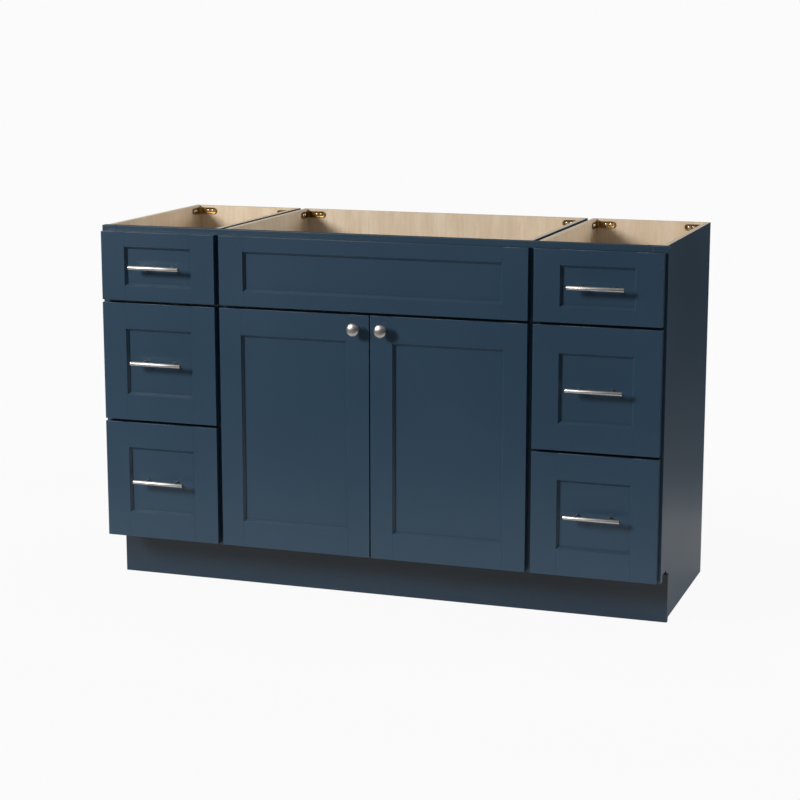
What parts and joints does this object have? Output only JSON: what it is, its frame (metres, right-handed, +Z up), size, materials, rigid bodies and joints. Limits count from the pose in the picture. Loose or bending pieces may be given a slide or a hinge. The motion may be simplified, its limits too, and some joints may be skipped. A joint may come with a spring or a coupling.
{
  "type": "bathroom vanity base cabinet",
  "caption": "Bathroom vanity base cabinet: drawer banks either side of a sink box with doors and a false front, behind one face frame, with an open top for a counter and a toe kick.",
  "frame": {"origin": "on the floor, at the middle of the overall width and of the overall depth, pulls included", "axes": "+X to the right seen from the front, +Y from the front to the back, +Z up"},
  "size_m": [1.3716, 0.5844, 0.8763],
  "materials": {
    "navy_paint": "satin painted navy blue",
    "maple_plywood": "clear matte maple; the boxes' outer faces are painted navy blue",
    "satin_nickel": "satin nickel",
    "nickel_steel": "nickel-plated pressed steel",
    "zinc_steel": "bright zinc-plated rolled steel",
    "yellow_zinc": "yellow zinc plate, satin"
  },
  "bodies": {
    "root": {"face_frame_end_stiles": "navy_paint", "face_frame_mid_stiles": "navy_paint", "face_frame_top_rail": "navy_paint", "face_frame_bottom_rail": "navy_paint", "face_frame_drawer_rails": "navy_paint", "face_frame_sink_rail": "navy_paint", "drawer_box_outer_sides": "maple_plywood", "drawer_box_inner_sides": "maple_plywood", "drawer_box_floors": "maple_plywood", "drawer_box_backs": "maple_plywood", "sink_box_sides": "maple_plywood", "sink_box_floor": "maple_plywood", "sink_box_back": "maple_plywood", "toe_board": "navy_paint", "corner_clips": "yellow_zinc", "corner_clip_screws": "zinc_steel", "false_front": "navy_paint", "false_front_blocks": "maple_plywood", "slide_spacers": "maple_plywood", "slide_cabinet_members": "zinc_steel", "hinge_plates": "nickel_steel"},
    "left_top_drawer": {"left_top_drawer_front": "navy_paint", "left_top_drawer_box": "maple_plywood", "left_top_slide_drawer_members": "zinc_steel", "left_top_pull": "satin_nickel"},
    "left_top_slide_middles": {"left_top_slide_middle_members": "zinc_steel"},
    "left_middle_drawer": {"left_middle_drawer_front": "navy_paint", "left_middle_drawer_box": "maple_plywood", "left_middle_slide_drawer_members": "zinc_steel", "left_middle_pull": "satin_nickel"},
    "left_middle_slide_middles": {"left_middle_slide_middle_members": "zinc_steel"},
    "left_bottom_drawer": {"left_bottom_drawer_front": "navy_paint", "left_bottom_drawer_box": "maple_plywood", "left_bottom_slide_drawer_members": "zinc_steel", "left_bottom_pull": "satin_nickel"},
    "left_bottom_slide_middles": {"left_bottom_slide_middle_members": "zinc_steel"},
    "right_top_drawer": {"right_top_drawer_front": "navy_paint", "right_top_drawer_box": "maple_plywood", "right_top_slide_drawer_members": "zinc_steel", "right_top_pull": "satin_nickel"},
    "right_top_slide_middles": {"right_top_slide_middle_members": "zinc_steel"},
    "right_middle_drawer": {"right_middle_drawer_front": "navy_paint", "right_middle_drawer_box": "maple_plywood", "right_middle_slide_drawer_members": "zinc_steel", "right_middle_pull": "satin_nickel"},
    "right_middle_slide_middles": {"right_middle_slide_middle_members": "zinc_steel"},
    "right_bottom_drawer": {"right_bottom_drawer_front": "navy_paint", "right_bottom_drawer_box": "maple_plywood", "right_bottom_slide_drawer_members": "zinc_steel", "right_bottom_pull": "satin_nickel"},
    "right_bottom_slide_middles": {"right_bottom_slide_middle_members": "zinc_steel"},
    "left_door": {"left_door": "navy_paint", "left_door_knob": "satin_nickel", "left_door_hinge_cups": "nickel_steel"},
    "right_door": {"right_door": "navy_paint", "right_door_knob": "satin_nickel", "right_door_hinge_cups": "nickel_steel"}
  },
  "joints": [
    {"name": "left_top_drawer_slide", "type": "slide", "parent": "root", "child": "left_top_drawer", "axis": [0, -1, 0], "range_m": [0, 0.45]},
    {"name": "left_top_middle_slide", "type": "slide", "parent": "root", "child": "left_top_slide_middles", "axis": [0, -1, 0], "range_m": [0, 0.225]},
    {"name": "left_middle_drawer_slide", "type": "slide", "parent": "root", "child": "left_middle_drawer", "axis": [0, -1, 0], "range_m": [0, 0.45]},
    {"name": "left_middle_middle_slide", "type": "slide", "parent": "root", "child": "left_middle_slide_middles", "axis": [0, -1, 0], "range_m": [0, 0.225]},
    {"name": "left_bottom_drawer_slide", "type": "slide", "parent": "root", "child": "left_bottom_drawer", "axis": [0, -1, 0], "range_m": [0, 0.45]},
    {"name": "left_bottom_middle_slide", "type": "slide", "parent": "root", "child": "left_bottom_slide_middles", "axis": [0, -1, 0], "range_m": [0, 0.225]},
    {"name": "right_top_drawer_slide", "type": "slide", "parent": "root", "child": "right_top_drawer", "axis": [0, -1, 0], "range_m": [0, 0.45]},
    {"name": "right_top_middle_slide", "type": "slide", "parent": "root", "child": "right_top_slide_middles", "axis": [0, -1, 0], "range_m": [0, 0.225]},
    {"name": "right_middle_drawer_slide", "type": "slide", "parent": "root", "child": "right_middle_drawer", "axis": [0, -1, 0], "range_m": [0, 0.45]},
    {"name": "right_middle_middle_slide", "type": "slide", "parent": "root", "child": "right_middle_slide_middles", "axis": [0, -1, 0], "range_m": [0, 0.225]},
    {"name": "right_bottom_drawer_slide", "type": "slide", "parent": "root", "child": "right_bottom_drawer", "axis": [0, -1, 0], "range_m": [0, 0.45]},
    {"name": "right_bottom_middle_slide", "type": "slide", "parent": "root", "child": "right_bottom_slide_middles", "axis": [0, -1, 0], "range_m": [0, 0.225]},
    {"name": "left_door_hinge", "type": "hinge", "parent": "root", "child": "left_door", "pos_m": [-0.36835, -0.25267, 0.40653], "axis": [0, 0, -1], "range_deg": [0, 90]},
    {"name": "right_door_hinge", "type": "hinge", "parent": "root", "child": "right_door", "pos_m": [0.36835, -0.25267, 0.40653], "axis": [0, 0, 1], "range_deg": [0, 90]}
  ],
  "couplings": [
    {"joint": "left_top_middle_slide", "follows": "left_top_drawer_slide", "ratio": 0.5},
    {"joint": "left_middle_middle_slide", "follows": "left_middle_drawer_slide", "ratio": 0.5},
    {"joint": "left_bottom_middle_slide", "follows": "left_bottom_drawer_slide", "ratio": 0.5},
    {"joint": "right_top_middle_slide", "follows": "right_top_drawer_slide", "ratio": 0.5},
    {"joint": "right_middle_middle_slide", "follows": "right_middle_drawer_slide", "ratio": 0.5},
    {"joint": "right_bottom_middle_slide", "follows": "right_bottom_drawer_slide", "ratio": 0.5}
  ]
}
